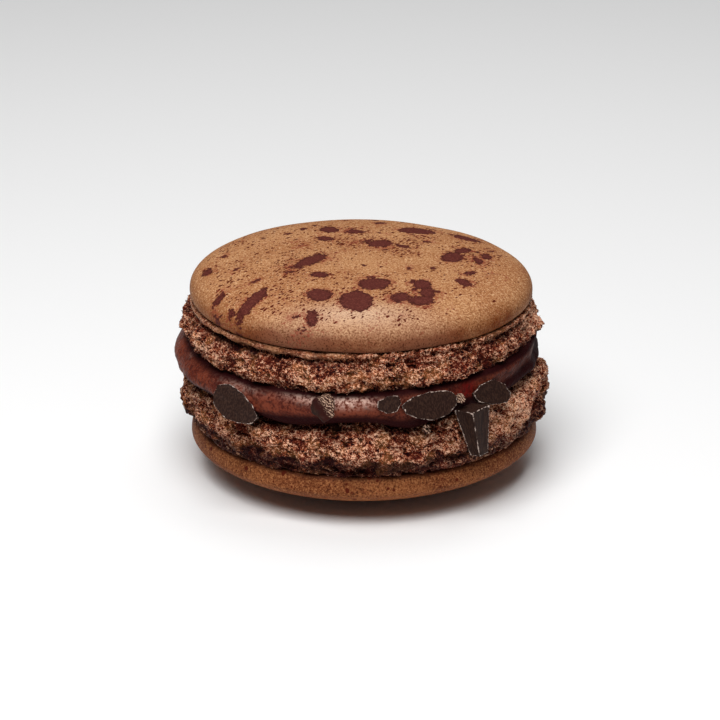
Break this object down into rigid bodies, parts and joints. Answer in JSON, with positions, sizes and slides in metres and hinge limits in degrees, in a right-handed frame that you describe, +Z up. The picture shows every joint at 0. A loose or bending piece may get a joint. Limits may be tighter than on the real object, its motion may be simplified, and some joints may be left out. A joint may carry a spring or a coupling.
{
  "type": "filled macaron",
  "caption": "Round filled macaron: two smooth-capped shells with ruffled feet, a soft chocolate filling and chocolate pieces pressed into its side.",
  "frame": {"origin": "centre of the flat spot under the bottom shell that the macaron rests on", "axes": "+Z up, square to the resting spot and through the middle of the shells; -Y is the front, where most of the chocolate pieces are; +X is to the right seen from the front"},
  "size_m": [0.0499, 0.05, 0.0292],
  "materials": {
    "shell": "matt baked almond meringue, tan, with reddish-brown cocoa spatter",
    "filling": "soft reddish-brown chocolate cream, satin",
    "chocolate": "cut dark chocolate, dull, with paler edges"
  },
  "bodies": {
    "root": {"top_shell": "shell", "filling": "filling", "bottom_shell": "shell", "piece_left_slab": "chocolate", "piece_nib": "chocolate", "piece_small": "chocolate", "piece_oval": "chocolate", "piece_right": "chocolate", "piece_shard": "chocolate", "piece_back_right": "chocolate", "piece_back_nib": "chocolate", "piece_back_slab": "chocolate", "piece_back_left": "chocolate"}
  },
  "joints": []
}
